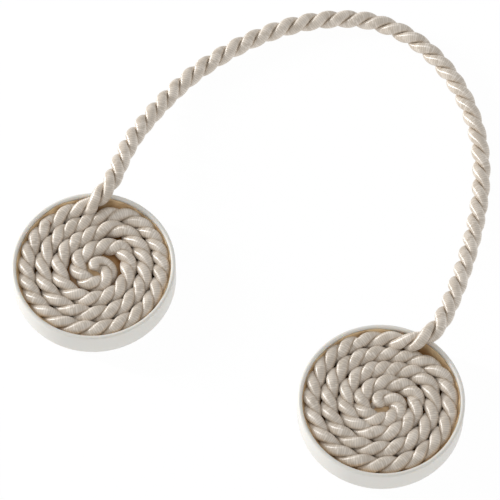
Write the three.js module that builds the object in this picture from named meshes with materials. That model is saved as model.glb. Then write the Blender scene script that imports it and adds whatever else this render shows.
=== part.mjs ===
// Magnetic curtain tieback: two round plastic cups, each filled with a glued coil of twisted rope,
// joined by one arc of the same rope. Millimetres, +Z up, the cups' flat backs on z = 0.
// The origin lies midway between the cups: +X runs from the left cup to the right one, +Y to the arc.

import * as THREE from "three";

// Cups
const CUP_DIAMETER = 50;
const CUP_HEIGHT = 10;
const CUP_WALL = 1.4;
const CUP_FLOOR = 4.1;
const CUP_SPACING = 97.7; // centre to centre
const FOOT_ROUND = 1.1; // where the side turns into the back
const FLOOR_FILLET = 0.6; // where the wall meets the floor inside
const ROUND_STEPS = 3; // facets of a quarter round
const CUP_SIDES = 60;

// Rope: two strands laid together, a left-hand twist
const ROPE_DIAMETER = 5.7;
const ROPE_WAIST = 2.3; // thickness across the groove between the strands
const ROPE_SIDES = 10;
const STEPS_PER_CROSSING = 4; // sections for each half turn of the twist
const CLEARANCE = 0.3; // between pieces that touch on the real thing

// Windings: turns of rope side by side, squeezed against each other
const TURN_PITCH = 5;
const PRESSED_WIDTH = 4.6; // of the rope between its neighbours
const OUTER_TURN_RADIUS = 20.45;
const INWARD_STEPS = 3; // after which the rope closes on the heart
const HEART_CORE = 0.3; // radius that the inner end leaves free at the middle of its last bend
const ROPE_LEVEL = CUP_FLOOR + CLEARANCE + ROPE_DIAMETER / 2; // height of the rope's axis in a cup

// One row for each cup. Angles are in degrees, counter-clockwise from +X; the coil runs inward with
// them from its outer end. Every turn steps in by one pitch between stepFrom and stepTo, where the
// rope leaves the cup. The turns lie a little off the cup's middle, and the last one closes round the
// heart. crossings counts the strands that cross the top in each quarter turn, from the outside in.
const COILS = [
  {
    side: "left",
    x: -CUP_SPACING / 2,
    middle: [0, 0.1],
    outerEnd: 163.4,
    stepFrom: 72,
    stepTo: 132,
    innerEnd: 1560,
    heart: [2.1, -0.8],
    heartRadius: 2.7,
    crossings: [6.1, 5.5, 6.5, 5.1, 3.9, 4.2, 4.6, 3.8, 2.9, 3.4, 3.2, 2.5, 2.0, 2.3, 2.3, 2.3],
    twistAtOuterEnd: 4.32, // half turns, 0 with the strands level
  },
  {
    side: "right",
    x: CUP_SPACING / 2,
    middle: [-0.3, 0.35],
    outerEnd: 135.4,
    stepFrom: 34,
    stepTo: 110,
    innerEnd: 1640,
    heart: [0.9, 0.2],
    heartRadius: 2.3,
    crossings: [5.9, 5.0, 5.4, 5.1, 4.4, 4.2, 4.4, 4.4, 3.1, 2.9, 3.0, 2.7, 2.2, 1.8, 2.1, 1.1, 0.9],
    twistAtOuterEnd: 42.67,
  },
];

// Arc: from the left coil's outer end, up over that cup's rim, down to the surface, round and
// back over the right cup's rim. Columns: x, y, z of the rope's axis.
const ARC_ROUTE = [
  [-68.31, 6.39, 7.25],
  [-66.8, 9.9, 7.3],
  [-64.8, 13, 7.6],
  [-62.1, 15.6, 8.2],
  [-59.5, 17.3, 9.8],
  [-58, 19.2, 11.8],
  [-57.1, 22.1, 13.2],
  [-56.7, 25.8, 13.7],
  [-57.1, 29.7, 13],
  [-57.8, 33.7, 12.2],
  [-58.5, 38.2, 11.1],
  [-59.1, 44.5, 9.4],
  [-59, 53, 7],
  [-57.9, 64, 4.5],
  [-54.9, 76.5, 3.05],
  [-49.3, 88.4, 2.95],
  [-42.5, 98.8, 2.95],
  [-34.3, 107.8, 2.95],
  [-24.7, 115, 2.95],
  [-13.8, 119.7, 2.95],
  [-2.1, 120.4, 2.95],
  [9.3, 117.5, 2.95],
  [19.8, 111.8, 2.95],
  [29.1, 103.9, 2.95],
  [36.8, 94.2, 2.95],
  [42.7, 82.7, 2.95],
  [46.8, 70.5, 3.8],
  [49.9, 58, 6.2],
  [52, 47, 9],
  [53.1, 39.6, 10.9],
  [53.7, 34.3, 12.2],
  [53.9, 30.2, 13.2],
  [53.4, 26.2, 13.6],
  [51.8, 23.1, 13.1],
  [49.3, 20.9, 11.6],
  [46.1, 19.9, 9.6],
  [42.5, 19.6, 8.4],
  [39.3, 18.5, 7.7],
  [36.5, 16.9, 7.35],
  [34.32, 15.04, 7.25],
];
const ARC_TWIST_START = -4.32; // half turns, 0 with the strands level
const ARC_LAY = 12.29; // length of a full turn of the twist in the middle of the arc
const ARC_LAY_OPENING = 0.39; // added to it 100 mm from there, growing with the square
const ARC_LAY_MIDDLE = 119.6; // distance of the tightest lay from the left end
const PRESSED_LENGTH = 22; // over which the arc's ends spread from the pressed to the free width

const plastic = new THREE.MeshStandardMaterial({ color: 0xf0eeea, roughness: 0.38, metalness: 0 });
const yarn = new THREE.MeshStandardMaterial({ color: 0xd9cdbf, roughness: 0.62, metalness: 0 });

const up = new THREE.Vector3(0, 0, 1);

function smoothStep(from, to, value) {
  const t = THREE.MathUtils.clamp((value - from) / (to - from), 0, 1);
  return t * t * (3 - 2 * t);
}

// Points of a quarter round about (x, z), from one angle to the other, in degrees.
function quarterRound(x, z, radius, fromAngle, toAngle) {
  const points = [];
  for (let i = 0; i <= ROUND_STEPS; i++) {
    const angle = THREE.MathUtils.degToRad(fromAngle + ((toAngle - fromAngle) * i) / ROUND_STEPS);
    points.push(new THREE.Vector2(x + radius * Math.cos(angle), z + radius * Math.sin(angle)));
  }
  return points;
}

// A shallow dish with a thick floor, a thin upright wall and a rounded rim.
function cup(coil) {
  const outer = CUP_DIAMETER / 2;
  const inner = outer - CUP_WALL;
  const rim = CUP_WALL / 2;
  const profile = [
    new THREE.Vector2(0, 0),
    ...quarterRound(outer - FOOT_ROUND, FOOT_ROUND, FOOT_ROUND, -90, 0),
    ...quarterRound(outer - rim, CUP_HEIGHT - rim, rim, 0, 90),
    ...quarterRound(outer - rim, CUP_HEIGHT - rim, rim, 90, 180).slice(1),
    ...quarterRound(inner - FLOOR_FILLET, CUP_FLOOR + FLOOR_FILLET, FLOOR_FILLET, 0, -90),
    new THREE.Vector2(0, CUP_FLOOR),
  ];
  const mesh = new THREE.Mesh(new THREE.LatheGeometry(profile, CUP_SIDES), plastic);
  mesh.name = `cup_${coil.side}`;
  mesh.rotation.x = Math.PI / 2;
  mesh.position.x = coil.x;
  return mesh;
}

// The angle that a coil has reached after a number of crossings, and the other way round.
function angleAtCrossing(coil, crossing) {
  let quarter = 0;
  let left = crossing;
  while (left > coil.crossings[quarter]) {
    left -= coil.crossings[quarter];
    quarter++;
  }
  return coil.outerEnd + 90 * (quarter + left / coil.crossings[quarter]);
}

function crossingsAtAngle(coil, angle) {
  const quarters = (angle - coil.outerEnd) / 90;
  const whole = Math.floor(quarters);
  const before = coil.crossings.slice(0, whole).reduce((sum, count) => sum + count, 0);
  return before + (quarters - whole) * coil.crossings[whole];
}

// The rope's axis at an angle of the coil: concentric turns, a step inward in each, and the heart.
function coilPlace(coil, angle) {
  const turnsPastStep = Math.floor((angle - coil.stepFrom) / 360);
  const stepStart = coil.stepFrom + 360 * turnsPastStep;
  const step = smoothStep(stepStart, stepStart + coil.stepTo - coil.stepFrom, angle);
  const steps = Math.min(turnsPastStep - 1 + step, INWARD_STEPS);
  const heartStart = coil.stepTo + 360 * INWARD_STEPS;
  const towardsHeart = smoothStep(heartStart, coil.innerEnd, angle);
  const turnRadius = OUTER_TURN_RADIUS - TURN_PITCH * steps;
  const radius = THREE.MathUtils.lerp(turnRadius, coil.heartRadius, towardsHeart);
  const bearing = THREE.MathUtils.degToRad(angle);
  const shift = smoothStep(heartStart - 60, heartStart + 200, angle);
  const centreX = THREE.MathUtils.lerp(coil.middle[0], coil.heart[0], shift);
  const centreY = THREE.MathUtils.lerp(coil.middle[1], coil.heart[1], shift);
  return {
    radius,
    point: new THREE.Vector3(
      coil.x + centreX + radius * Math.cos(bearing),
      centreY + radius * Math.sin(bearing),
      ROPE_LEVEL,
    ),
  };
}

// Sections of the rope along a coil. A section is narrower where the rope runs aslant to its
// neighbours, and at the heart, where the bend is as tight as the rope is wide.
function coilSections(coil) {
  const total = crossingsAtAngle(coil, coil.innerEnd);
  const count = Math.round(total * STEPS_PER_CROSSING);
  const sections = [];
  for (let i = 0; i <= count; i++) {
    const crossing = (total * i) / count;
    const angle = angleAtCrossing(coil, crossing);
    const { point, radius } = coilPlace(coil, angle);
    const ahead = coilPlace(coil, angle + 0.5).point.sub(coilPlace(coil, angle - 0.5).point).normalize();
    const round = new THREE.Vector3(
      -Math.sin(THREE.MathUtils.degToRad(angle)),
      Math.cos(THREE.MathUtils.degToRad(angle)),
      0,
    );
    sections.push({
      point,
      ahead,
      halfTurns: coil.twistAtOuterEnd + crossing,
      width: Math.min(PRESSED_WIDTH, 2 * (radius - HEART_CORE)) * ahead.dot(round),
    });
  }
  return sections;
}

// Sections of the rope along the arc. Its lay opens out towards both cups.
function arcSections() {
  const route = new THREE.CatmullRomCurve3(ARC_ROUTE.map((row) => new THREE.Vector3(...row)));
  route.arcLengthDivisions = 2000;
  const length = route.getLength();
  const count = Math.round((2 * length * STEPS_PER_CROSSING) / ARC_LAY);
  const sections = [];
  let halfTurns = ARC_TWIST_START;
  for (let i = 0; i <= count; i++) {
    const along = (length * i) / count;
    const fromEnd = Math.min(along, length - along);
    const free = smoothStep(0, PRESSED_LENGTH, fromEnd);
    sections.push({
      point: route.getPointAt(i / count),
      ahead: route.getTangentAt(i / count),
      halfTurns,
      width: THREE.MathUtils.lerp(PRESSED_WIDTH, ROPE_DIAMETER, free),
    });
    const lay = ARC_LAY + ARC_LAY_OPENING * ((along - ARC_LAY_MIDDLE) / 100) ** 2;
    halfTurns += (2 * length) / count / lay;
  }
  return sections;
}

// A closed solid through twisted two-lobed sections. A point of the outline at an angle from the
// line through both strands lies at the root of (A cos)^2 + (B sin)^2, A and B the half diameter
// and half waist. The section turns left-handed, by half a turn for each strand that crosses.
function ropeGeometry(sections) {
  const positions = [];
  const faces = [];
  sections.forEach(({ point, ahead, halfTurns, width }) => {
    const across = new THREE.Vector3().crossVectors(ahead, up).normalize();
    const above = new THREE.Vector3().crossVectors(across, ahead);
    for (let side = 0; side < ROPE_SIDES; side++) {
      const onOutline = (2 * Math.PI * (side + 0.5)) / ROPE_SIDES;
      const reach = Math.hypot(
        (ROPE_DIAMETER / 2) * Math.cos(onOutline),
        (ROPE_WAIST / 2) * Math.sin(onOutline),
      );
      const turned = onOutline + Math.PI * halfTurns;
      const place = point.clone();
      place.addScaledVector(across, (reach * Math.cos(turned) * width) / ROPE_DIAMETER);
      place.addScaledVector(above, reach * Math.sin(turned));
      positions.push(place.x, place.y, place.z);
    }
  });
  const last = sections.length - 1;
  for (let ring = 0; ring < last; ring++) {
    for (let side = 0; side < ROPE_SIDES; side++) {
      const here = ring * ROPE_SIDES + side;
      const beside = ring * ROPE_SIDES + ((side + 1) % ROPE_SIDES);
      faces.push(here, here + ROPE_SIDES, beside);
      faces.push(beside, here + ROPE_SIDES, beside + ROPE_SIDES);
    }
  }
  [0, last].forEach((ring) => {
    const middle = positions.length / 3;
    const { point } = sections[ring];
    positions.push(point.x, point.y, point.z);
    for (let side = 0; side < ROPE_SIDES; side++) {
      const here = ring * ROPE_SIDES + side;
      const beside = ring * ROPE_SIDES + ((side + 1) % ROPE_SIDES);
      faces.push(middle, ring === 0 ? here : beside, ring === 0 ? beside : here);
    }
  });
  const geometry = new THREE.BufferGeometry();
  geometry.setAttribute("position", new THREE.Float32BufferAttribute(positions, 3));
  geometry.setIndex(faces);
  geometry.computeVertexNormals();
  return geometry;
}

function rope(name, sections) {
  const mesh = new THREE.Mesh(ropeGeometry(sections), yarn);
  mesh.name = name;
  return mesh;
}

const tieback = new THREE.Group();
COILS.forEach((coil) => {
  tieback.add(cup(coil));
  tieback.add(rope(`winding_${coil.side}`, coilSections(coil)));
});
tieback.add(rope("rope_arc", arcSections()));

export default tieback;
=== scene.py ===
import bpy
import numpy as np
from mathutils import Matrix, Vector


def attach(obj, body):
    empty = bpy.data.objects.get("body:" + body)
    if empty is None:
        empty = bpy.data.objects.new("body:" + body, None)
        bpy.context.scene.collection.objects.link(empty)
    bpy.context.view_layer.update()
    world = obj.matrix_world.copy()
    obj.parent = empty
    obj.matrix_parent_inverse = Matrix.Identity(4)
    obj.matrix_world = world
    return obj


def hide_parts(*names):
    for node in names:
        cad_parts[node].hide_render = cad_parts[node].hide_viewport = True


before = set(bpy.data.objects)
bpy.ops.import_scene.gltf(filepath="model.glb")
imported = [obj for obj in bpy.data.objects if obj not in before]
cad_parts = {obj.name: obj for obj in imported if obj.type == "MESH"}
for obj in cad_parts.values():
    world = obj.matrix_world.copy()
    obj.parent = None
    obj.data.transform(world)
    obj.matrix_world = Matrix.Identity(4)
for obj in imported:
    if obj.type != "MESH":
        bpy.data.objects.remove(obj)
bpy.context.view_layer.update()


# Camera
# A long lens about a metre away, looking down steeply over the cups' front edges, with the arc of
# rope behind them.
camera_data = bpy.data.cameras.new("camera")
camera_data.sensor_width = 36
camera_data.lens = 238.3
camera = bpy.data.objects.new("camera", camera_data)
camera.location = (0.2009, -0.3789, 0.9096)
looked_at = Vector((-0.01122, 0.03088, 0))
camera.rotation_euler = (looked_at - camera.location).to_track_quat("-Z", "Y").to_euler()
bpy.context.scene.collection.objects.link(camera)
bpy.context.scene.camera = camera


# Arc of rope
# A soft rope of two strands laid together with a left-hand twist. Each strand is a soft core wound
# round and round with satin thread. The rope climbs out of the left cup over its rim, lies on the
# surface in one open arc, and climbs back over the rim of the right cup.
ROPE_DIAMETER = 5.7
STRAND_RADIUS = ROPE_DIAMETER / 4  # of the strand's oval section, away from the rope's middle
STRAND_HALF_WIDTH = 1.75  # and along the slit, where the strands press each other flat
THREAD_PITCH = 0.55  # a thread is about 0.3 mm, drawn coarser so that it shows
THREAD_RELIEF = 0.045
RIDGE_MEAN = 0.64  # of the ridge's absolute cosine, taken off so that the strand keeps its size
TIP_SHARE = 0.002  # of a strand radius, from a rounded end to its last ring
STRAND_SIDES = 16
STRAND_STATIONS = 3000
PRESSED_SQUEEZE = 0.895  # width of the rope between its neighbours in a coil, as a share
SQUEEZE_LENGTH = 22  # over which the arc's ends spread to the free width
ARC_LAY = 12.29  # length of one full twist, where it is tightest
ARC_LAY_MIDDLE = 119.6  # distance along the arc to that place
ARC_LAY_OPENING = 0.39  # what the lay has grown by 100 mm away from it
ARC_TWIST_START = -4.32  # in half turns
ARC_SPAN_POINTS = 120

# Columns: x, y, z of the rope's axis, in millimetres.
ARC_ROUTE = np.array([
    [-68.31, 6.39, 7.25],
    [-66.8, 9.9, 7.3],
    [-64.8, 13, 7.6],
    [-62.1, 15.6, 8.2],
    [-59.5, 17.3, 9.8],
    [-58, 19.2, 11.8],
    [-57.1, 22.1, 13.2],
    [-56.7, 25.8, 13.7],
    [-57.1, 29.7, 13],
    [-57.8, 33.7, 12.2],
    [-58.5, 38.2, 11.1],
    [-59.1, 44.5, 9.4],
    [-59, 53, 7],
    [-57.9, 64, 4.5],
    [-54.9, 76.5, 3.05],
    [-49.3, 88.4, 2.95],
    [-42.5, 98.8, 2.95],
    [-34.3, 107.8, 2.95],
    [-24.7, 115, 2.95],
    [-13.8, 119.7, 2.95],
    [-2.1, 120.4, 2.95],
    [9.3, 117.5, 2.95],
    [19.8, 111.8, 2.95],
    [29.1, 103.9, 2.95],
    [36.8, 94.2, 2.95],
    [42.7, 82.7, 2.95],
    [46.8, 70.5, 3.8],
    [49.9, 58, 6.2],
    [52, 47, 9],
    [53.1, 39.6, 10.9],
    [53.7, 34.3, 12.2],
    [53.9, 30.2, 13.2],
    [53.4, 26.2, 13.6],
    [51.8, 23.1, 13.1],
    [49.3, 20.9, 11.6],
    [46.1, 19.9, 9.6],
    [42.5, 19.6, 8.4],
    [39.3, 18.5, 7.7],
    [36.5, 16.9, 7.35],
    [34.32, 15.04, 7.25],
])


def unit(vectors):
    """Each vector divided by its length."""
    return vectors / np.linalg.norm(vectors, axis=-1, keepdims=True)


def length_along(line):
    """Distance of each point of a line from its first, the sum of the steps between them."""
    steps = np.linalg.norm(np.diff(line, axis=0), axis=1)
    return np.concatenate([[0], np.cumsum(steps)])


def smooth_step(low, high, value):
    """0 below low, 1 above high, and 3 t squared less 2 t cubed in between."""
    t = np.clip((value - low) / (high - low), 0, 1)
    return t * t * (3 - 2 * t)


def smooth_line(points, per_span):
    """Centripetal Catmull-Rom curve: on each span a cubic through both ends, whose end slopes come
    from the neighbours on either side, weighted by the square roots of the distances."""
    ends = np.vstack([2 * points[0] - points[1], points, 2 * points[-1] - points[-2]])
    root = np.sqrt(np.linalg.norm(np.diff(ends, axis=0), axis=1))[:, None]
    before, here, ahead = root[:-2], root[1:-1], root[2:]
    p0, p1, p2, p3 = ends[:-3], ends[1:-2], ends[2:-1], ends[3:]
    slope_1 = ((p1 - p0) / before - (p2 - p0) / (before + here) + (p2 - p1) / here) * here
    slope_2 = ((p2 - p1) / here - (p3 - p1) / (here + ahead) + (p3 - p2) / ahead) * here
    u = (np.arange(per_span) / per_span)[None, :, None]
    cubic = (
        p1[:, None]
        + slope_1[:, None] * u
        + (-3 * p1 + 3 * p2 - 2 * slope_1 - slope_2)[:, None] * u**2
        + (2 * p1 - 2 * p2 + slope_1 + slope_2)[:, None] * u**3
    )
    return np.vstack([cubic.reshape(-1, 3), points[-1]])


def even_stations(line, count):
    """The points at equal distances along a line, read off between its own points."""
    along = length_along(line)
    wanted = np.linspace(0, along[-1], count)
    return np.column_stack([np.interp(wanted, along, line[:, axis]) for axis in range(3)])


def strand_rings(axis_line, half_turns, squeeze, strand, rounded_end=False):
    """One strand of the rope, as rings of points round its own centre line. The centre line turns
    about the rope's axis at one strand radius: to the side by the cosine of the twist, squeezed,
    and upward by its sine. A ring is an oval, with a ridge added for each turn of thread: the
    absolute cosine of the distance along the strand, counted in threads, less its mean, and made
    uneven by a slow sine whose own phase wavers. At a rounded end the rings shrink as the height
    of a quarter circle does."""
    ahead = unit(np.gradient(axis_line, axis=0))
    across = unit(np.cross(ahead, [0, 0, 1]))
    above = np.cross(across, ahead)
    turn = (np.pi * (half_turns + strand))[:, None]
    off_axis = STRAND_RADIUS * (squeeze[:, None] * np.cos(turn) * across + np.sin(turn) * above)
    centre = axis_line + off_axis
    run = unit(np.gradient(centre, axis=0))
    outward = unit(off_axis - np.sum(off_axis * run, axis=1, keepdims=True) * run)
    beside = np.cross(run, outward)
    along = length_along(centre)
    share = np.arange(STRAND_SIDES) / STRAND_SIDES
    thread = along[:, None] / THREAD_PITCH + share[None, :]
    uneven = 0.7 + 0.3 * np.sin(0.83 * thread + 1.7 * np.sin(0.29 * thread) + strand)
    ridge = (THREAD_RELIEF * uneven * (np.abs(np.cos(np.pi * thread)) - RIDGE_MEAN))[..., None]
    angle = 2 * np.pi * share[None, :, None]
    from_centre = (STRAND_RADIUS + ridge) * np.cos(angle) * outward[:, None]
    from_centre = from_centre + (STRAND_HALF_WIDTH + ridge) * np.sin(angle) * beside[:, None]
    if rounded_end:
        to_end = np.clip((along[-1] - along) / STRAND_RADIUS, TIP_SHARE, 1)
        from_centre = from_centre * np.sqrt(1 - (1 - to_end) ** 2)[:, None, None]
    return centre[:, None] + from_centre, along


def closed_mesh(name, tubes):
    """A mesh of closed tubes. Each is rings of points in millimetres with the distance of each ring
    from the first. Every ring is joined to the next, and the first and last are each closed by a
    fan on their middle point. The UV map holds that distance and the share of the way round."""
    points, quads, fans, quad_uv, fan_uv = [], [], [], [], []
    base = 0
    for rings, along in tubes:
        count, sides = rings.shape[:2]
        grid = base + np.arange(count * sides).reshape(count, sides)
        beside = np.roll(grid, -1, axis=1)
        quads.append(np.stack([grid[:-1], beside[:-1], beside[1:], grid[1:]], -1).reshape(-1, 4))
        share = np.arange(sides) / sides
        here, there = np.meshgrid(along[:-1], share, indexing="ij")
        onward = np.broadcast_to(along[1:, None], here.shape)
        step = 1 / sides
        corners = [(here, there), (here, there + step), (onward, there + step), (onward, there)]
        quad_uv.append(np.stack([np.stack(corner, -1) for corner in corners], 2).reshape(-1, 2))
        first_middle = base + count * sides
        start = np.stack([np.full(sides, first_middle), beside[0], grid[0]], -1)
        end = np.stack([np.full(sides, first_middle + 1), grid[-1], beside[-1]], -1)
        fans.append(np.vstack([start, end]))
        ends = np.repeat([along[0], along[-1]], 3 * sides)
        fan_uv.append(np.stack([ends, np.full(6 * sides, 0.5)], -1))
        points.append(rings.reshape(-1, 3))
        points.append(np.stack([rings[0].mean(0), rings[-1].mean(0)]))
        base = first_middle + 2
    mesh = bpy.data.meshes.new(name)
    faces = np.vstack(quads).tolist() + np.vstack(fans).tolist()
    mesh.from_pydata((np.vstack(points) / 1000).tolist(), [], faces)
    uv = mesh.uv_layers.new(name="lay")
    uv.data.foreach_set("uv", np.vstack(quad_uv + fan_uv).astype(np.float32).ravel())
    mesh.shade_smooth()
    mesh.update()
    piece = bpy.data.objects.new(name, mesh)
    bpy.context.scene.collection.objects.link(piece)
    return piece


def from_hex(colour):
    """A colour written as sRGB hex, in linear values: a straight line near black, and above it the
    power 2.4 of the value shifted by 0.055."""
    parts = np.array([int(colour[i:i + 2], 16) for i in (1, 3, 5)]) / 255
    flat = np.where(parts <= 0.04045, parts / 12.92, ((parts + 0.055) / 1.055) ** 2.4)
    return (*flat.tolist(), 1)


def add_node(tree, kind, inputs=None, **settings):
    """Adds a node with its own settings. inputs gives a socket, by name or number, its value or the
    output that feeds it."""
    node = tree.nodes.new(kind)
    for key, value in settings.items():
        setattr(node, key, value)
    for key, value in (inputs or {}).items():
        if isinstance(value, bpy.types.NodeSocket):
            tree.links.new(value, node.inputs[key])
        else:
            node.inputs[key].default_value = value
    return node


def empty_material(name):
    """A material with nothing but its output node."""
    material = bpy.data.materials.new(name)
    material.use_nodes = True
    material.node_tree.nodes.clear()
    return material, material.node_tree


# Viscose satin thread, wound tightly: a narrow bright line down the lit side of each strand, spread
# along the strand and broken up by the threads that cross it.
satin_yarn, tree = empty_material("viscose_satin_wound_yarn")
lay_map = add_node(tree, "ShaderNodeUVMap", uv_map="lay")
lay = add_node(tree, "ShaderNodeSeparateXYZ", {0: lay_map.outputs["UV"]})
thread_number = add_node(
    tree, "ShaderNodeMath", {0: lay.outputs["X"], 1: 1 / THREAD_PITCH}, operation="MULTIPLY"
)
thread_turn = add_node(
    tree, "ShaderNodeMath", {0: thread_number.outputs[0], 1: lay.outputs["Y"]}, operation="ADD"
)
thread_whole = add_node(tree, "ShaderNodeMath", {0: thread_turn.outputs[0]}, operation="ROUND")
thread_tone = add_node(
    tree, "ShaderNodeTexWhiteNoise", {"W": thread_whole.outputs[0]}, noise_dimensions="1D"
)
place = add_node(tree, "ShaderNodeTexCoord")
blotch = add_node(
    tree, "ShaderNodeTexNoise",
    {"Vector": place.outputs["Object"], "Scale": 1 / 0.0035, "Detail": 2.0, "Roughness": 0.6},
)
tone = add_node(
    tree, "ShaderNodeMath", {0: thread_tone.outputs["Value"], 1: blotch.outputs["Fac"]},
    operation="ADD",
)
tone_half = add_node(tree, "ShaderNodeMath", {0: tone.outputs[0], 1: 0.5}, operation="MULTIPLY")
yarn_colour = add_node(
    tree, "ShaderNodeMix",
    {"Factor": tone_half.outputs[0], 6: from_hex("#BBA992"), 7: from_hex("#F6E9D9")},
    data_type="RGBA",
)
# Painted shade: each thread is darkened towards the groove between it and the next.
thread_middle = add_node(
    tree, "ShaderNodeMath", {0: thread_turn.outputs[0], 1: 0.5}, operation="PINGPONG"
)
groove_painted_shade = add_node(
    tree, "ShaderNodeMapRange",
    {
        "Value": thread_middle.outputs[0],
        "From Min": 0.2,
        "From Max": 0.5,
        "To Min": 1.0,
        "To Max": 0.77,
    },
    interpolation_type="SMOOTHSTEP",
)
yarn_with_groove_shade = add_node(
    tree, "ShaderNodeMix",
    {"Factor": 1.0, 6: yarn_colour.outputs[2], 7: groove_painted_shade.outputs[0]},
    data_type="RGBA", blend_type="MULTIPLY",
)
# Painted shade and bounce light: the side of a strand that faces the rope's middle lies in the
# slit, and is tinted brown there, where light that has passed through the yarn comes back brown.
to_middle = add_node(tree, "ShaderNodeMath", {0: lay.outputs["Y"], 1: 0.5}, operation="PINGPONG")
slit_painted_shade = add_node(
    tree, "ShaderNodeMapRange",
    {"Value": to_middle.outputs[0], "From Min": 0.385, "From Max": 0.48},
    interpolation_type="SMOOTHSTEP",
)
yarn_with_slit_shade = add_node(
    tree, "ShaderNodeMix",
    {"Factor": slit_painted_shade.outputs[0], 6: yarn_with_groove_shade.outputs[2], 7: from_hex("#B07E4C")},
    data_type="RGBA",
)
filament_place = add_node(
    tree, "ShaderNodeCombineXYZ", {"X": thread_turn.outputs[0], "Y": lay.outputs["Y"]}
)
filament_scale = add_node(
    tree, "ShaderNodeMapping",
    {"Vector": filament_place.outputs[0], "Scale": (3.0, 9.0, 1.0)},
)
filaments = add_node(
    tree, "ShaderNodeTexNoise",
    {"Vector": filament_scale.outputs[0], "Scale": 1.0, "Detail": 3.0, "Roughness": 0.65},
)
along_strand = add_node(tree, "ShaderNodeTangent", direction_type="UV_MAP", uv_map="lay")
filament_bump = add_node(
    tree, "ShaderNodeBump",
    {"Height": filaments.outputs["Fac"], "Strength": 0.5, "Distance": 0.00006},
)
yarn_surface = add_node(
    tree, "ShaderNodeBsdfPrincipled",
    {
        "Base Color": yarn_with_slit_shade.outputs[2],
        "Normal": filament_bump.outputs[0],
        "Roughness": 0.36,
        "Anisotropic": 1.0,
        "Specular IOR Level": 1.0,
        "Tangent": along_strand.outputs[0],
        "IOR": 1.9,
        "Sheen Weight": 0.15,
        "Sheen Roughness": 0.4,
    },
)
add_node(tree, "ShaderNodeOutputMaterial", {"Surface": yarn_surface.outputs[0]})

# The arc's twist, in half turns, is two for each lay of rope, summed from its first point.
arc_line = even_stations(smooth_line(ARC_ROUTE, ARC_SPAN_POINTS), STRAND_STATIONS)
arc_along = length_along(arc_line)
arc_length = arc_along[-1]
lay_here = ARC_LAY + ARC_LAY_OPENING * ((arc_along - ARC_LAY_MIDDLE) / 100) ** 2
arc_turns = ARC_TWIST_START + np.concatenate(
    [[0], np.cumsum(2 * np.diff(arc_along) / (0.5 * (lay_here[1:] + lay_here[:-1])))]
)
from_end = np.minimum(arc_along, arc_length - arc_along)
arc_squeeze = PRESSED_SQUEEZE + (1 - PRESSED_SQUEEZE) * smooth_step(0, SQUEEZE_LENGTH, from_end)
arc = closed_mesh(
    "rope_arc_strands", [strand_rings(arc_line, arc_turns, arc_squeeze, k) for k in (0, 1)]
)
arc.data.materials.append(satin_yarn)
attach(arc, "root")
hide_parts("rope_arc")


# Windings
# The same rope coiled flat in each cup, clockwise outward as seen from above, its turns pressed
# side by side into glue. It starts at the heart with a hooked end and leaves over the rim.
TURN_PITCH = 5
OUTER_TURN_RADIUS = 20.6
ROPE_LEVEL = 7.25
CUP_SPACING = 97.7
REACH_BACK = 1.4  # degrees that the coil overlaps the arc's end by
COIL_STEP = 2.0  # degrees
COIL_SPAN_POINTS = 24

# Angles are degrees round the cup's middle, counted on inward from the outer end. crossings holds
# the half turns of twist on each quarter turn of the coil. The columns of heart are x and y from
# the cup's middle, and the half turns of twist there.
COILS = [
    {
        "side": "left", "x": -CUP_SPACING / 2, "middle": (0, 0.1),
        "outer_end": 163.4, "step_from": 79, "step_to": 136, "twist_at_outer_end": 4.32,
        "crossings": [6.1, 5.5, 6.5, 5.1, 3.9, 4.2, 4.6, 3.8, 2.9, 3.4, 3.2],
        "heart_from": 1149,
        "heart": np.array([
            [-0.8, 8.0, 54.5],
            [-4.1, 4.2, 55.5],
            [-5.4, -0.3, 56.5],
            [-1.8, -4.1, 57.5],
            [2.3, -4.8, 58.5],
            [4.5, -3.2, 59.1],
            [5.2, -0.7, 59.6],
            [4.1, 1.6, 59.95],
            [1.6, 2.2, 60.15],
            [-0.1, 1.1, 60.4],
            [0.0, -0.8, 60.8],
        ]),
    },
    {
        "side": "right", "x": CUP_SPACING / 2, "middle": (-0.3, 0.35),
        "outer_end": 135.4, "step_from": 42, "step_to": 108, "twist_at_outer_end": 42.67,
        "crossings": [5.9, 5.0, 5.4, 5.1, 4.4, 4.2, 4.4, 4.4, 3.1, 2.9, 3.0],
        "heart_from": 1105,
        "heart": np.array([
            [7.3, 7.4, 90.5],
            [2.7, 7.9, 91.5],
            [-2.5, 6.0, 92.5],
            [-5.6, 1.6, 93.5],
            [-5.7, -2.2, 94.5],
            [-2.4, -5.3, 95.5],
            [1.6, -5.6, 96.5],
            [4.8, -3.1, 97.5],
            [6.0, 0.3, 98.5],
            [2.9, 2.6, 99.5],
            [-0.3, 1.7, 100.1],
            [-1.1, -0.2, 100.5],
            [-0.2, -2.0, 100.9],
        ]),
    },
]


def coil_places(coil, angle):
    """The rope's axis at each angle, x, y and height: concentric turns, each stepping in by one
    pitch over the same few degrees."""
    whole = np.floor((angle - coil["step_from"]) / 360)
    step_start = coil["step_from"] + 360 * whole
    step = smooth_step(step_start, step_start + coil["step_to"] - coil["step_from"], angle)
    radius = OUTER_TURN_RADIUS - TURN_PITCH * (whole - 1 + step)
    bearing = np.radians(angle)
    return np.column_stack([
        coil["x"] + coil["middle"][0] + radius * np.cos(bearing),
        coil["middle"][1] + radius * np.sin(bearing),
        np.full(len(angle), ROPE_LEVEL),
    ])


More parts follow.
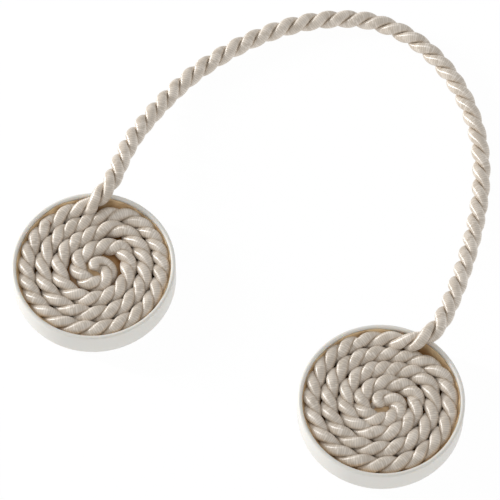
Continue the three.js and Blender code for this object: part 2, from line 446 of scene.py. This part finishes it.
# A coil is its round turns and then the places of its heart. Its first places reach back into the
# arc's end, so that no joint shows.
for coil in COILS:
    angle = np.arange(coil["outer_end"] - REACH_BACK, coil["heart_from"], COIL_STEP)
    quarter_starts = coil["outer_end"] + 90 * np.arange(len(coil["crossings"]) + 1)
    crossed = np.concatenate([[0], np.cumsum(coil["crossings"])])
    before_end = np.minimum(angle - coil["outer_end"], 0) / 90 * coil["crossings"][0]
    turn_twist = coil["twist_at_outer_end"] + np.interp(angle, quarter_starts, crossed) + before_end
    heart_places = np.column_stack([
        coil["x"] + coil["heart"][:, 0], coil["heart"][:, 1], np.full(len(coil["heart"]), ROPE_LEVEL),
    ])
    places = np.vstack([coil_places(coil, angle), heart_places])
    place_twist = np.concatenate([turn_twist, coil["heart"][:, 2]])
    line = smooth_line(places, COIL_SPAN_POINTS)
    rough_along = length_along(line)
    twist = np.interp(rough_along, rough_along[::COIL_SPAN_POINTS], place_twist)
    line = even_stations(line, STRAND_STATIONS)
    along = np.linspace(0, rough_along[-1], STRAND_STATIONS)
    half_turns = np.interp(along, rough_along, twist)
    winding = closed_mesh(
        f"winding_{coil['side']}_strands",
        [
            strand_rings(line, half_turns, np.full(len(line), PRESSED_SQUEEZE), k, rounded_end=True)
            for k in (0, 1)
        ],
    )
    winding.data.materials.append(satin_yarn)
    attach(winding, "root")
    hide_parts(f"winding_{coil['side']}")


# Cups
# Two shallow cups, injection moulded in off-white plastic, with an upright wall, a narrow rounded
# rim and a flat back. The thick floor holds the magnet.
CUP_RADIUS = 25
CUP_HEIGHT = 10
CUP_WALL = 1.4
CUP_FLOOR = 4.1
FOOT_ROUND = 1.1
FLOOR_FILLET = 0.6
CUP_SIDES = 192
QUARTER_POINTS = 9
FLAT_RING = 0.4  # from a rounding to the next ring, on the flat beside it
RIM_ROUND = CUP_WALL / 2
CUP_INNER = CUP_RADIUS - CUP_WALL


def quarter(x, z, radius, start, end):
    """Points of a quarter round about (x, z): its radius times the cosine and sine of each angle."""
    angle = np.radians(np.linspace(start, end, QUARTER_POINTS))
    return np.column_stack([x + radius * np.cos(angle), z + radius * np.sin(angle)])


def turned_rings(profile, x, sides):
    """A profile of radius and height carried round the upright axis at x."""
    angle = 2 * np.pi * np.arange(sides) / sides
    radius, height = profile[:, :1], profile[:, 1:]
    return np.stack([
        x + radius * np.cos(angle),
        radius * np.sin(angle),
        np.broadcast_to(height, (len(profile), sides)),
    ], -1)


# Acrylonitrile butadiene styrene, moulded against a satin-finished tool: a soft even gloss, and a
# little light let in, which lifts the thin rim.
moulded_abs, tree = empty_material("moulded_abs_satin")
place = add_node(tree, "ShaderNodeTexCoord")
grain = add_node(
    tree, "ShaderNodeTexNoise",
    {"Vector": place.outputs["Object"], "Scale": 1 / 0.0006, "Detail": 2.0},
)
grain_bump = add_node(
    tree, "ShaderNodeBump", {"Height": grain.outputs["Fac"], "Strength": 0.12, "Distance": 0.00004}
)
flow = add_node(
    tree, "ShaderNodeTexNoise",
    {"Vector": place.outputs["Object"], "Scale": 1 / 0.018, "Detail": 3.0, "Roughness": 0.55},
)
plastic_colour = add_node(
    tree, "ShaderNodeMix",
    {"Factor": flow.outputs["Fac"], 6: from_hex("#DEDBD4"), 7: from_hex("#E5E2DC")},
    data_type="RGBA",
)
plastic_surface = add_node(
    tree, "ShaderNodeBsdfPrincipled",
    {
        "Base Color": plastic_colour.outputs[2],
        "Normal": grain_bump.outputs[0],
        "Roughness": 0.46,
        "IOR": 1.53,
        "Subsurface Weight": 0.5,
        "Subsurface Scale": 0.0015,
        "Subsurface Radius": (1.0, 0.85, 0.7),
    },
)
add_node(tree, "ShaderNodeOutputMaterial", {"Surface": plastic_surface.outputs[0]})

cup_profile = np.vstack([
    [CUP_RADIUS - FOOT_ROUND - FLAT_RING, 0],
    quarter(CUP_RADIUS - FOOT_ROUND, FOOT_ROUND, FOOT_ROUND, -90, 0),
    [CUP_RADIUS, CUP_HEIGHT / 2],
    quarter(CUP_RADIUS - RIM_ROUND, CUP_HEIGHT - RIM_ROUND, RIM_ROUND, 0, 90),
    quarter(CUP_RADIUS - RIM_ROUND, CUP_HEIGHT - RIM_ROUND, RIM_ROUND, 90, 180)[1:],
    quarter(CUP_INNER - FLOOR_FILLET, CUP_FLOOR + FLOOR_FILLET, FLOOR_FILLET, 0, -90),
    [CUP_INNER - FLOOR_FILLET - FLAT_RING, CUP_FLOOR],
])
for coil in COILS:
    cup = closed_mesh(
        f"cup_{coil['side']}_moulded",
        [(turned_rings(cup_profile, coil["x"], CUP_SIDES), length_along(cup_profile))],
    )
    cup.data.materials.append(moulded_abs)
    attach(cup, "root")
    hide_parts(f"cup_{coil['side']}")


# Glue
# Amber hot glue that the coil was pressed into. It fills the floor of the cup, shows deep between
# the turns, and stands up in an uneven fillet between the rope and the wall.
GLUE_LEVEL = 4.9
GLUE_GAP = 0.03  # to the cup's wall and floor
GLUE_SIDES = 160
TOP_WAVE = 0.15
WALL_CLIMB = 4.1
WALL_CLIMB_WAVE = 0.35
WALL_CLIMB_WIDTH = 1.3
WALL_RINGS_TO = 3  # from the wall, 13 rings, then 12 wider ones
HEART_RING = 0.5  # radius of the innermost ring
MIDDLE_SWELL = 2.2
MIDDLE_SWELL_RADIUS = 8


def glue_rings(coil):
    """The underside just above the floor, the edge just inside the wall, and a top whose height
    falls from the wall inward by an exponential of the distance, waving round the cup as a sum of
    three sines, and swells again in the middle by an exponential of the radius squared."""
    angle = 2 * np.pi * np.arange(GLUE_SIDES) / GLUE_SIDES
    wave = np.sin(3 * angle + 1) + 0.6 * np.sin(7 * angle + coil["x"]) + 0.4 * np.sin(13 * angle)
    outer = CUP_INNER - GLUE_GAP
    by_wall = np.linspace(outer, outer - WALL_RINGS_TO, 13)
    inward = np.linspace(outer - WALL_RINGS_TO - 1, HEART_RING, 12)
    top = np.concatenate([by_wall, inward])
    under = np.array([HEART_RING, outer - FLOOR_FILLET, outer])
    under_z = CUP_FLOOR + np.array([GLUE_GAP, GLUE_GAP, FLOOR_FILLET])
    from_wall = outer - top[:, None]
    climb = (WALL_CLIMB + WALL_CLIMB_WAVE * wave) * np.exp(-from_wall / WALL_CLIMB_WIDTH)
    swell = MIDDLE_SWELL * np.exp(-((top[:, None] / MIDDLE_SWELL_RADIUS) ** 2))
    top_z = GLUE_LEVEL + TOP_WAVE * wave * (top[:, None] / outer) + climb + swell
    radius = np.concatenate([under, top])[:, None]
    height = np.vstack([np.broadcast_to(under_z[:, None], (3, GLUE_SIDES)), top_z])
    return np.stack([coil["x"] + radius * np.cos(angle), radius * np.sin(angle), height], -1)


# Hot-melt glue, set: clear amber resin with a smooth wet gloss, its tone wavering at random. Its
# colour is painted shade by height: brown low down between the turns, pale amber high by the wall.
set_glue, tree = empty_material("set_hot_melt_glue")
place = add_node(tree, "ShaderNodeTexCoord")
thickness = add_node(
    tree, "ShaderNodeTexNoise",
    {"Vector": place.outputs["Object"], "Scale": 1 / 0.004, "Detail": 2.0},
)
glue_place = add_node(tree, "ShaderNodeSeparateXYZ", {0: place.outputs["Object"]})
# Painted shade: the glue is darker the lower it lies, from 7.6 mm down to 5 mm above the table.
height_painted_shade = add_node(
    tree, "ShaderNodeMapRange",
    {"Value": glue_place.outputs["Z"], "From Min": 0.005, "From Max": 0.0076, "To Max": 1.7},
    interpolation_type="SMOOTHSTEP",
)
painted_height_shade_and_tone = add_node(
    tree, "ShaderNodeMath", {0: height_painted_shade.outputs[0], 1: thickness.outputs["Fac"]},
    operation="MULTIPLY",
)
glue_colour = add_node(
    tree, "ShaderNodeMix",
    {"Factor": painted_height_shade_and_tone.outputs[0], 6: from_hex("#A06E36"), 7: from_hex("#F6D9AC")},
    data_type="RGBA",
)
glue_bump = add_node(
    tree, "ShaderNodeBump",
    {"Height": thickness.outputs["Fac"], "Strength": 0.4, "Distance": 0.0003},
)
glue_surface = add_node(
    tree, "ShaderNodeBsdfPrincipled",
    {
        "Base Color": glue_colour.outputs[2],
        "Normal": glue_bump.outputs[0],
        "Roughness": 0.25,
        "IOR": 1.48,
    },
)
add_node(tree, "ShaderNodeOutputMaterial", {"Surface": glue_surface.outputs[0]})

for coil in COILS:
    rings = glue_rings(coil)
    glue = closed_mesh(f"glue_{coil['side']}", [(rings, length_along(rings[:, 0]))])
    glue.data.materials.append(set_glue)
    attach(glue, "root")


# Studio
# A white table lit from inside, so that shadows stay faint, even light from all round, and a narrow
# strip light low on the left, whose reflection is the bright line down the left of each strand.
TABLE_HALF = 3  # metres
TABLE_DROP = 0.0002
table_corners = [
    (-TABLE_HALF, -TABLE_HALF, 0),
    (TABLE_HALF, -TABLE_HALF, 0),
    (TABLE_HALF, TABLE_HALF, 0),
    (-TABLE_HALF, TABLE_HALF, 0),
]
floor_mesh = bpy.data.meshes.new("floor")
floor_mesh.from_pydata(table_corners, [], [(0, 1, 2, 3)])
floor = bpy.data.objects.new("floor", floor_mesh)
floor.location = (0, 0, -TABLE_DROP)
bpy.context.scene.collection.objects.link(floor)
light_table, tree = empty_material("white_light_table")
table_surface = add_node(
    tree, "ShaderNodeBsdfPrincipled",
    {
        "Base Color": (0.06, 0.06, 0.06, 1),
        "Roughness": 0.9,
        "Specular IOR Level": 0.1,
        "Emission Color": (1, 1, 1, 1),
        "Emission Strength": 0.95,
    },
)
add_node(tree, "ShaderNodeOutputMaterial", {"Surface": table_surface.outputs[0]})
floor_mesh.materials.append(light_table)

world = bpy.data.worlds.new("studio")
bpy.context.scene.world = world
world.use_nodes = True
world.node_tree.nodes["Background"].inputs["Color"].default_value = (0.97, 0.985, 1, 1)
world.node_tree.nodes["Background"].inputs["Strength"].default_value = 0.66

strip_data = bpy.data.lights.new("strip_left", "AREA")
strip_data.shape = "RECTANGLE"
strip_data.size = 0.04
strip_data.size_y = 0.5
strip_data.energy = 6.5
strip = bpy.data.objects.new("strip_left", strip_data)
strip.location = (-0.95, -0.12, 0.26)
strip.rotation_euler = (-strip.location).to_track_quat("-Z", "Y").to_euler()
bpy.context.scene.collection.objects.link(strip)

bpy.context.scene.view_settings.view_transform = "Standard"
bpy.context.scene.view_settings.look = "None"
